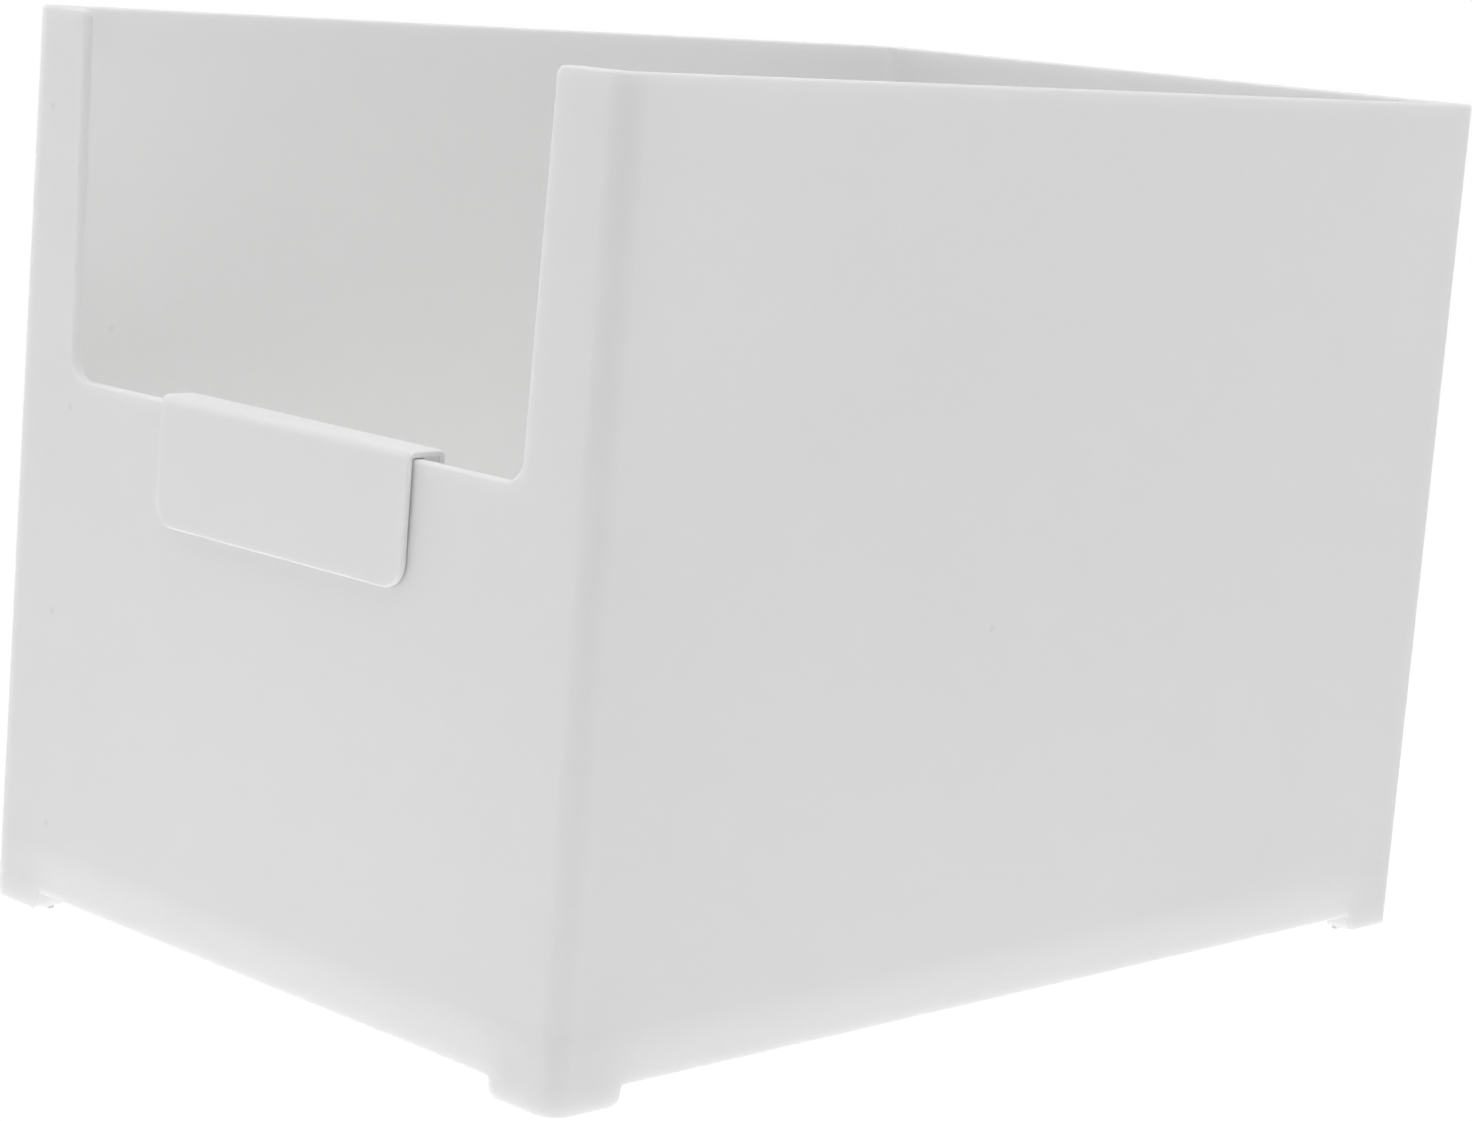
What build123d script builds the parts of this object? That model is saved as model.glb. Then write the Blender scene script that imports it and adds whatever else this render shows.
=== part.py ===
"""Desktop storage box: a one-piece moulded bin with a cut-out front, four corner feet and a label clip."""

from build123d import *
import math
import os

# Moulded bin, outside, in millimetres. Z is zero at the lowest point of the feet.
bin_width = 169.0
bin_length = 254.5
bin_height = 181.0
corner_radius = 5.0
wall = 2.4
draft_deg = 0.16
rim_round = 0.6

# Floor, and the hollow skirt that the walls make below it
floor_top = 16.8
floor_thickness = 2.4
skirt_bottom = 4.6
inside_bottom_round = 2.4

# Shallow well under the middle of the floor, with the stub where the plastic was let into the mould
gate_well = 11.0
gate_well_depth = 0.5
gate_stub = 2.6
gate_stub_height = 0.3

# Cut-out in the front wall
rim_drop = 72.0
notch_width = 130.4
notch_draft_deg = 1.5
notch_corner_radius = 4.5
post_corner_radius = 2.0

# Corner feet: an outer sole under the wall and a lower ridge behind it that drops inside a rim below
foot_leg = 16.6
foot_depth = 6.1
foot_end_round = 2.4
foot_inner_round = 2.0
foot_root_round = 0.6
foot_root_height = 4.0
ridge_drop = 1.0
ridge_slope_run = 2.6
ridge_step = 0.3
base_round = 0.4

# Label clip that hangs on the rim of the cut-out
clip_width = 72.0
clip_shift = 1.5
clip_thickness = 1.4
clip_gap = 0.1
leaf_height = 25.2
leaf_corner_radius = 5.0
front_bend = 1.1
back_bend = 0.8
back_space = 3.7
back_leg_straight = 4.5
back_leg_drop = 12.0
back_leg_bend = 3.0
back_lip_drop = 3.5
back_lip_out = 1.6
back_corner_radius = 2.5
clip_edge_bevel = 0.3
end_rib_drop = 3.6

# Values that follow from the sizes above
notch_rim = bin_height - rim_drop
notch_top_width = notch_width + 2 * rim_drop * math.tan(math.radians(notch_draft_deg))
floor_under = floor_top - floor_thickness


def lean(z):
    """How far each outside face stands inside its place at the rim, at height z."""
    return (bin_height - z) * math.tan(math.radians(draft_deg))


def near(a, b):
    """Whether two lengths are the same, to a hundredth of a millimetre."""
    return abs(a - b) < 0.01


def edge_round(size, thickness):
    """A round or bevel for both edges of a wall, held to what the wall's thickness leaves room for."""
    return min(size, 0.4 * thickness)


def mirrored(points):
    """A half outline followed by its mirror image, so that the whole is the same left and right."""
    return points + [(-x, z) for x, z in reversed(points)]


def corners_at(sketch, x, z):
    """The corners of an outline that lie at height z and at x or minus x."""
    return sketch.vertices().filter_by(lambda v: near(v.Y, z) and near(abs(v.X), x))


def plan_outline(z, inset):
    """The bin's outline at height z, moved in by inset from the outside face."""
    step = lean(z) + inset
    radius = max(corner_radius - step, 0.2 * wall)
    return Plane.XY.offset(z) * RectangleRounded(bin_width - 2 * step, bin_length - 2 * step, radius)


def drafted_block(z_low, z_high, inset):
    """The space inside the bin's outline between two heights, moved in by inset."""
    return loft([plan_outline(z_low, inset), plan_outline(z_high, inset)], ruled=True)


def outer_form():
    """The outside: leaning walls down to the soles, then a ridge that tapers in below them."""
    walls = drafted_block(ridge_drop, bin_height, 0)
    ridge = loft([plan_outline(0, wall + ridge_slope_run), plan_outline(ridge_drop, wall)], ruled=True)
    return walls + ridge


def cavity():
    """The inside of the bin, open at the rim, with a round where the walls meet the floor."""
    space = drafted_block(floor_top, bin_height, wall)
    upright_round = corner_radius - wall - lean(floor_top)
    bottom_edges = space.faces().sort_by(Axis.Z)[0].edges()
    return fillet(bottom_edges, min(inside_bottom_round, 0.9 * upright_round))


def gap_between_feet(half_span):
    """The opening between two feet in elevation: round heels below, a small round under the skirt."""
    foot_end = half_span - foot_leg
    ridge_end = foot_end + foot_end_round + ridge_step
    low = [(-ridge_end - ridge_drop / 2, 0), (-ridge_end, ridge_drop)]
    high = [(-foot_end, ridge_drop), (-foot_end, skirt_bottom)]
    outline = make_face(Polyline(*mirrored(low + high), close=True))
    outline = fillet(corners_at(outline, foot_end, skirt_bottom), foot_root_round)
    return fillet(corners_at(outline, foot_end, ridge_drop), foot_end_round)


def feet(span_x, span_y):
    """Four L-shaped corner feet, rooted a little way up inside the skirt."""
    plan = Rectangle(span_x, span_y)
    plan -= Rectangle(span_x, span_y - 2 * foot_leg)
    plan -= Rectangle(span_x - 2 * foot_leg, span_y)
    plan -= RectangleRounded(span_x - 2 * foot_depth, span_y - 2 * foot_depth, foot_inner_round)
    return extrude(plan, skirt_bottom + foot_root_height)


def gate():
    """The well under the floor's middle, with the stub of plastic that stands in it."""
    well = Pos(0, 0, floor_under) * Cylinder(gate_well / 2, 2 * gate_well_depth)
    stub_end = Pos(0, 0, floor_under + gate_well_depth - gate_stub_height)
    stub = stub_end * Cylinder(gate_stub / 2, gate_stub_height, align=(Align.CENTER, Align.CENTER, Align.MIN))
    return well - stub


def under_side():
    """What is open below the floor: the hollow of the skirt and the gaps between the feet."""
    span_x = bin_width - 2 * lean(skirt_bottom)
    span_y = bin_length - 2 * lean(skirt_bottom)
    hollow = drafted_block(0, floor_under, wall) - feet(span_x, span_y) + gate()
    front_gap = extrude(Plane.XZ * gap_between_feet(span_x / 2), bin_length / 2, both=True)
    side_gap = extrude(Plane.YZ * gap_between_feet(span_y / 2), bin_width / 2, both=True)
    return hollow + front_gap + side_gap


def base_edges(shell):
    """The lower edge of the outside walls, along the skirt and round the soles of the feet."""
    walls = shell.faces().filter_by(lambda face: face.bounding_box().max.Z > notch_rim)
    return walls.edges().filter_by(lambda edge: (edge @ 0.5).Z < floor_under)


def front_notch():
    """The cut-out of the front wall: drafted sides, round lower corners and soft post tops."""
    half_top = notch_top_width / 2
    beyond = 2 * post_corner_radius
    outside = [(-half_top - beyond, bin_height + beyond), (-half_top - beyond, bin_height)]
    side = [(-half_top, bin_height), (-notch_width / 2, notch_rim)]
    outline = make_face(Polyline(*mirrored(outside + side), close=True))
    outline = fillet(corners_at(outline, notch_width / 2, notch_rim), notch_corner_radius)
    outline = fillet(corners_at(outline, half_top, bin_height), post_corner_radius)
    reach = 2 * wall
    return extrude(Plane.XZ.offset(bin_length / 2 - reach) * outline, 2 * reach)


def rim_edges(shell):
    """Every edge along the rim and round the cut-out, but not the short ones across the wall."""
    least_across = 0.9

    def is_rim(edge):
        middle = edge @ 0.5
        in_front = middle.Y < 2 * wall - bin_length / 2
        in_notch = in_front and abs(middle.X) < notch_top_width / 2 and middle.Z > notch_rim - wall
        across = in_front and abs((edge % 0.5).Y) > least_across
        return (middle.Z > bin_height - wall or in_notch) and not across

    return shell.edges().filter_by(is_rim)


def make_shell():
    """The whole moulding, with its base, its rim and the edges of the cut-out rounded."""
    shell = outer_form() - cavity() - under_side()
    shell = fillet(base_edges(shell), base_round) - front_notch()
    return fillet(rim_edges(shell), edge_round(rim_round, wall))


def clip_line():
    """The middle of the clip's strip from its end: front leaf, bridge, and a back leg sprung to the wall."""
    half = clip_thickness / 2
    front_face = lean(notch_rim) - bin_length / 2
    back_face = front_face + wall
    y_leaf = front_face - clip_gap - half
    y_back = back_face + back_space + half
    y_grip = back_face + clip_gap + half
    z_bridge = notch_rim + clip_gap + half
    z_grip = z_bridge - back_leg_drop
    return FilletPolyline(
        (y_leaf, z_bridge + half - leaf_height),
        (y_leaf, z_bridge),
        (y_back, z_bridge),
        (y_back, z_bridge - back_leg_straight),
        (y_grip, z_grip),
        (y_grip + back_lip_out, z_grip - back_lip_drop),
        radius=[front_bend, back_bend, back_leg_bend, back_leg_bend],
    )


def end_ribs():
    """Two small ribs that close the hollow behind the wall, under the bridge's ends."""
    rim_back = lean(notch_rim) - bin_length / 2 + wall
    depth = back_space - clip_gap + clip_thickness / 2
    height = end_rib_drop + clip_thickness / 2
    spot = Pos(clip_shift, rim_back + clip_gap, notch_rim + clip_gap - end_rib_drop)
    rib = spot * Box(clip_thickness, depth, height, align=(Align.CENTER, Align.MIN, Align.MIN))
    reach = clip_width / 2 - clip_edge_bevel - clip_thickness / 2
    return [Pos(side * reach, 0, 0) * rib for side in (-1, 1)]


def end_corners(clip, end):
    """The two short corner edges of the strip at one end of its middle line."""
    return clip.edges().filter_by(lambda edge: near((edge @ 0.5).Y, end.X) and near((edge @ 0.5).Z, end.Y))


def sharp_edges(solid):
    """The edges where two faces of a solid meet at a corner that a finger would feel."""
    least_turn_deg = 15

    def is_sharp(edge):
        normals = [face.normal_at(edge @ 0.5) for face in solid.faces() if edge in face.edges()]
        return len(normals) == 2 and normals[0].get_angle(normals[1]) > least_turn_deg

    return solid.edges().filter_by(is_sharp)


def make_clip():
    """The label clip: its outline carried along the rim, with round corners and bevelled edges."""
    line = clip_line()
    strip = Plane.YZ * trace(line, clip_thickness)
    clip = Pos(clip_shift, 0, 0) * extrude(strip, clip_width / 2, both=True)
    clip = fillet(end_corners(clip, line @ 0), leaf_corner_radius)
    clip = fillet(end_corners(clip, line @ 1), back_corner_radius)
    return chamfer(sharp_edges(clip), edge_round(clip_edge_bevel, clip_thickness)) + end_ribs()


def build():
    os.makedirs("parts", exist_ok=True)
    export_step(make_shell(), "parts/box_shell.step")
    export_step(make_clip(), "parts/label_clip.step")


build()
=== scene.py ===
"""Desktop storage box: a milky white polypropylene bin with a cut-out front and a label clip on its rim."""

import math
import bpy
from mathutils import Matrix, Vector


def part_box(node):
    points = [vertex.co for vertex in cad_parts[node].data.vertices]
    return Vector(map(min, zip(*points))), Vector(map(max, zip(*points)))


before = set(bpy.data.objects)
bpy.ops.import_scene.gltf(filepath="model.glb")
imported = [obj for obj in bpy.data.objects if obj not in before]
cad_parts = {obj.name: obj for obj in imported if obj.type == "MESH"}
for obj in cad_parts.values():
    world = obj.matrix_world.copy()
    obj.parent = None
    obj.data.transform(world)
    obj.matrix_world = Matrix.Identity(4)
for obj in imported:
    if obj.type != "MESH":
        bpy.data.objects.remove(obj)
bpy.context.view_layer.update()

# Box shell. One injection moulding in milky white polypropylene. Light goes a few millimetres into
# the wall and comes out again, so free edges and the hollow skirt look soft and a little lighter. The
# skirt and the inner faces are also painted lighter, as painted light, and a faint painted shade darkens
# the outside where the inner floor meets the wall. The mould leaves a fine matt grain outside, and a
# smoother face inside.


class Shade:
    """A socket of a material. A sum or product that holds one adds the Math nodes that work it out."""

    def __init__(self, tree, socket=None):
        self.tree = tree
        self.socket = socket

    def node(self, kind, settings, inputs, output=0):
        """Adds a node: its settings come first, then the value or link of each socket that is named."""
        node = self.tree.nodes.new(kind)
        for name, value in settings.items():
            setattr(node, name, value)
        for name, value in inputs.items():
            if isinstance(value, Shade):
                self.tree.links.new(value.socket, node.inputs[name])
            else:
                node.inputs[name].default_value = value
        return Shade(self.tree, node.outputs[output] if len(node.outputs) else None)

    def math(self, operation, *values):
        return self.node("ShaderNodeMath", {"operation": operation}, dict(enumerate(values)))

    def __add__(self, other):
        return self.math("ADD", self, other)

    def __sub__(self, other):
        return self.math("SUBTRACT", self, other)

    def __rsub__(self, other):
        return self.math("SUBTRACT", other, self)

    def __mul__(self, other):
        return self.math("MULTIPLY", self, other)

    def __gt__(self, other):
        return self.math("GREATER_THAN", self, other)

    def __abs__(self):
        return self.math("ABSOLUTE", self)

    __radd__ = __add__
    __rmul__ = __mul__

    def least(self, other):
        return self.math("MINIMUM", self, other)

    def most(self, other):
        return self.math("MAXIMUM", self, other)

    def rise(self, start, end):
        """0 up to start, 1 from end on, and a smooth step between them."""
        return self.node(
            "ShaderNodeMapRange", {"interpolation_type": "SMOOTHSTEP"},
            {"Value": self, "From Min": start, "From Max": end})

    def peak(self, middle, width):
        """1 at the middle, falling smoothly to 0 at half the width on either side."""
        return 1 - abs(self - middle).rise(0.0, width / 2)

    def noise(self, size, detail=2.0):
        """Even noise about one half over this place, in lumps as wide as size."""
        return self.node("ShaderNodeTexNoise", {}, {"Vector": self, "Scale": 1 / size, "Detail": detail})

    def blend(self, first, second):
        """The first colour where this mask is 0 and the second where it is 1."""
        return self.node("ShaderNodeMix", {"data_type": "RGBA"}, {0: self, 6: first, 7: second}, 2)

    def scaled(self, factor):
        """This colour times a number."""
        return self.node("ShaderNodeVectorMath", {"operation": "SCALE"}, {0: self, "Scale": factor})

    def far_from(self, spot):
        """The distance of this place from a spot."""
        return self.node("ShaderNodeVectorMath", {"operation": "DISTANCE"}, {0: self, 1: spot}, "Value")


def new_material(name):
    """A material with no nodes yet, and the start of its maths."""
    material = bpy.data.materials.new(name)
    material.use_nodes = True
    material.node_tree.nodes.clear()
    return material, Shade(material.node_tree)


def milky_plastic(start, colour, roughness, grain, grain_height, scatter_depth):
    """Polypropylene that scatters light within itself, with a moulded grain on its surface."""
    surface = start.node("ShaderNodeBsdfPrincipled", {}, {
        "Base Color": colour,
        "Roughness": roughness,
        "IOR": 1.49,
        "Subsurface Weight": 1.0,
        "Subsurface Radius": (1.0, 1.0, 1.0),
        "Subsurface Scale": scatter_depth,
        "Normal": start.node("ShaderNodeBump", {}, {"Distance": grain_height, "Height": grain}),
    })
    start.node("ShaderNodeOutputMaterial", {}, {"Surface": surface})


# Where the parts of the moulding are, in metres. The sides lean out by DRAFT for each metre up.
WALL = 0.0024
DRAFT = math.tan(math.radians(0.16))
SKIRT_TOP = 0.0144
SKIRT_FADE = 0.006
FLOOR_TOP = 0.0168
FLOOR_LINE = 0.0152
FLOOR_LINE_WIDTH = 0.003

# The plastic. A shade is a share of the lightness that is taken off. MATT is the roughness of the
# outside, and the other matt values are added to it.
OUTSIDE = (0.820, 0.820, 0.820, 1.0)
# The inner faces are painted much lighter than the outside: painted light, standing for light that passes
# through the walls and bounces inside the bin.
INSIDE_PAINTED_LIGHT = (0.948, 0.947, 0.942, 1.0)
# The skirt's colour is painted lighter than the outside: painted light, standing for light from under the
# table glowing through the thin skirt.
SKIRT_PAINTED_GLOW = (0.845, 0.845, 0.845, 1.0)
SCATTER_DEPTH = 0.004
CLOUD_SIZE = 0.03
CLOUD_DETAIL = 3.0
CLOUD_SHADE = 0.012
CLOUD_MATT = 0.08
# A painted shade: a faint darker band on the outside where the inner floor meets the wall.
FLOOR_LINE_PAINTED_SHADE = 0.007
MATT = 0.50
INSIDE_MATT = -0.05
GRAIN_SIZE = 0.00045
GRAIN_HEIGHT = 0.000016
SOLE_WEAR = 0.0015
SOLE_MATT = 0.15

# Small dark specks in the plastic, and where they show.
SPECK_SIZE = 0.0011
SPECK_SHADE = 0.08
SPECKS = (
    (-0.0760, -0.1272, 0.1615),
    (-0.0653, -0.1270, 0.1034),
    (-0.0678, -0.1269, 0.0622),
    (-0.0661, -0.1268, 0.0193),
    (-0.0819, -0.1059, 0.1164),
    (0.0842, -0.0204, 0.0788),
)

low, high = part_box("box_shell")
material, start = new_material("milky_polypropylene")
place = start.node("ShaderNodeTexCoord", {}, {}, "Object")
x, y, z = [start.node("ShaderNodeSeparateXYZ", {}, {0: place}, axis) for axis in "XYZ"]

# A point deeper below the outside than most of the wall is on an inner face.
lean = (high[2] - z) * DRAFT
depth = (high[0] - lean - abs(x)).least(high[1] - lean - abs(y))
inside = depth.rise(0.7 * WALL, 0.95 * WALL) * z.rise(SKIRT_TOP, FLOOR_TOP)
skirt = 1 - z.rise(SKIRT_TOP - SKIRT_FADE, SKIRT_TOP)
# Painted shade along the outside where the inner floor joins the wall.
floor_line_painted_shade = z.peak(FLOOR_LINE, FLOOR_LINE_WIDTH) * (1 - inside)
sole = 1 - z.rise(0.0, SOLE_WEAR)
clouds = place.noise(CLOUD_SIZE, CLOUD_DETAIL)
nearest = place.far_from(SPECKS[0])
for spot in SPECKS[1:]:
    nearest = nearest.least(place.far_from(spot))
speck = 1 - nearest.rise(0.0, SPECK_SIZE)

# The floor line term takes off painted shade. The clouds and specks are the plastic's own tone.
shade = 1 - CLOUD_SHADE / 2 + CLOUD_SHADE * clouds - FLOOR_LINE_PAINTED_SHADE * floor_line_painted_shade - SPECK_SHADE * speck
# Painted light: the inner faces and the skirt take lighter colours than the outside here.
tone = inside.blend(skirt.blend(OUTSIDE, SKIRT_PAINTED_GLOW), INSIDE_PAINTED_LIGHT).scaled(shade)
roughness = MATT + CLOUD_MATT * clouds + INSIDE_MATT * inside + SOLE_MATT * sole
milky_plastic(start, tone, roughness, place.noise(GRAIN_SIZE), GRAIN_HEIGHT, SCATTER_DEPTH)
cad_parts["box_shell"].material_slots[0].material = material

# Label clip. A thin springy strip of the same kind of plastic, denser and a little smoother than
# the box, moulded as one piece. It is pushed down over the front rim and held by its own bend.

CLIP_THIN = (0.880, 0.880, 0.880, 1.0)
CLIP_DENSE = (0.895, 0.895, 0.895, 1.0)
CLIP_MATT = 0.42
CLIP_SCATTER_DEPTH = 0.0007
CLIP_CLOUD_SIZE = 0.02
CLIP_GRAIN_SIZE = 0.0006
CLIP_GRAIN_HEIGHT = 0.00001

material, start = new_material("clip_polypropylene")
place = start.node("ShaderNodeTexCoord", {}, {}, "Object")
clouds = place.noise(CLIP_CLOUD_SIZE, CLOUD_DETAIL)
tone = clouds.blend(CLIP_THIN, CLIP_DENSE)
roughness = CLIP_MATT + CLOUD_MATT * clouds
milky_plastic(start, tone, roughness, place.noise(CLIP_GRAIN_SIZE), CLIP_GRAIN_HEIGHT, CLIP_SCATTER_DEPTH)
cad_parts["label_clip"].material_slots[0].material = material

# Floor. A wide table top of white acrylic, which is lit from above and lets some light through from
# below. The camera sees it nearly plain white, with a faint share of its soft shadow near the box.

FLOOR_REACH = 4.0
ACRYLIC = (0.90, 0.90, 0.90, 1.0)
WHITE = (1.0, 1.0, 1.0, 1.0)
SHADOW_SHARE = 0.1
LET_THROUGH = 0.35
SHADOW_FADE = (0.25, 0.7)
ONE_PASS = 1.5


def seen(start):
    """1 for what is seen straight, in a gloss or through glass, and 0 for what lights the box.

    Light that has only come out of the milky plastic is marked as a transmission too, with one pass.
    It counts as light, and only more passes than that count as seen through glass.
    """
    straight, gloss, through, passes = [
        start.node("ShaderNodeLightPath", {}, {}, name)
        for name in ("Is Camera Ray", "Is Glossy Ray", "Is Transmission Ray", "Transmission Depth")
    ]
    return straight.most(gloss).most(through * (passes > ONE_PASS))


corners = [(-FLOOR_REACH, -FLOOR_REACH, 0), (FLOOR_REACH, -FLOOR_REACH, 0),
           (FLOOR_REACH, FLOOR_REACH, 0), (-FLOOR_REACH, FLOOR_REACH, 0)]
floor = bpy.data.objects.new("floor", bpy.data.meshes.new("floor"))
floor.data.from_pydata(corners, [], [(0, 1, 2, 3)])
bpy.context.scene.collection.objects.link(floor)
material, start = new_material("white_acrylic")
away = start.node("ShaderNodeTexCoord", {}, {}, "Object").far_from((0.0, 0.0, 0.0))
plain = 1 - SHADOW_SHARE * (1 - away.rise(*SHADOW_FADE))
sheet = start.node("ShaderNodeMixShader", {}, {
    0: LET_THROUGH,
    1: start.node("ShaderNodeBsdfDiffuse", {}, {"Color": ACRYLIC}),
    2: start.node("ShaderNodeBsdfTranslucent", {}, {"Color": ACRYLIC}),
})
start.node("ShaderNodeOutputMaterial", {}, {"Surface": start.node("ShaderNodeMixShader", {}, {
    0: seen(start) * plain,
    1: sheet,
    2: start.node("ShaderNodeEmission", {}, {"Color": WHITE, "Strength": 1.0}),
})})
floor.data.materials.append(material)

# Studio. A white room, seen as plain white, that lights the box a little. Large soft lamps stand
# above it, round it, and under the table, whose light brightens the foot of the walls.

ROOM_LIGHT = 0.16
LAMPS = {
    "overhead": ((0.0, 0.0, 2.4), 3.0, 50.5),
    "under_the_table": ((0.0, 0.0, -1.2), 2.4, 71.0),
    "front_left": ((-1.1, -2.3, 0.8), 1.6, 3.0),
    "left": ((-2.4, -0.6, 0.8), 1.6, 14.5),
    "back_right": ((1.4, 2.2, 0.8), 1.6, 7.0),
}
MIDDLE = Vector((0.0, 0.0, 0.09))

world = bpy.data.worlds.new("studio")
bpy.context.scene.world = world
world.use_nodes = True
world.node_tree.nodes.clear()
start = Shade(world.node_tree)
strength = ROOM_LIGHT + (1 - ROOM_LIGHT) * seen(start)
start.node("ShaderNodeOutputWorld", {}, {
    "Surface": start.node("ShaderNodeBackground", {}, {"Color": WHITE, "Strength": strength}),
})
for name, (spot, width, power) in LAMPS.items():
    light = bpy.data.lights.new(name, "AREA")
    light.shape = "SQUARE"
    light.size = width
    light.energy = power
    lamp = bpy.data.objects.new(name, light)
    lamp.location = spot
    lamp.rotation_euler = (MIDDLE - Vector(spot)).to_track_quat("-Z", "Y").to_euler()
    bpy.context.scene.collection.objects.link(lamp)

# Camera. The view is from the front right and a little above, through a long lens held slightly
# tilted, as in the photograph.

AZIMUTH = math.radians(44.66)
ELEVATION = math.radians(7.92)
ROLL = math.radians(4.40)
DISTANCE = 0.7774
LENS = 89.07
SENSOR = 36.0
SHIFT = (0.0465, -0.0785)
AIM = Vector((-0.0257, 0.0, 0.0963))

back = Vector((
    math.sin(AZIMUTH) * math.cos(ELEVATION),
    -math.cos(AZIMUTH) * math.cos(ELEVATION),
    math.sin(ELEVATION),
))
right = Vector((0.0, 0.0, 1.0)).cross(back).normalized()
up = back.cross(right)
tilted_right = right * math.cos(ROLL) + up * math.sin(ROLL)
tilted_up = up * math.cos(ROLL) - right * math.sin(ROLL)
camera = bpy.data.objects.new("camera", bpy.data.cameras.new("camera"))
camera.data.lens = LENS
camera.data.sensor_width = SENSOR
camera.data.shift_x, camera.data.shift_y = SHIFT
camera.matrix_world = Matrix.Translation(AIM + back * DISTANCE) @ Matrix(
    (tilted_right, tilted_up, back)
).transposed().to_4x4()
bpy.context.scene.collection.objects.link(camera)
bpy.context.scene.camera = camera
bpy.context.scene.view_settings.view_transform = "Standard"
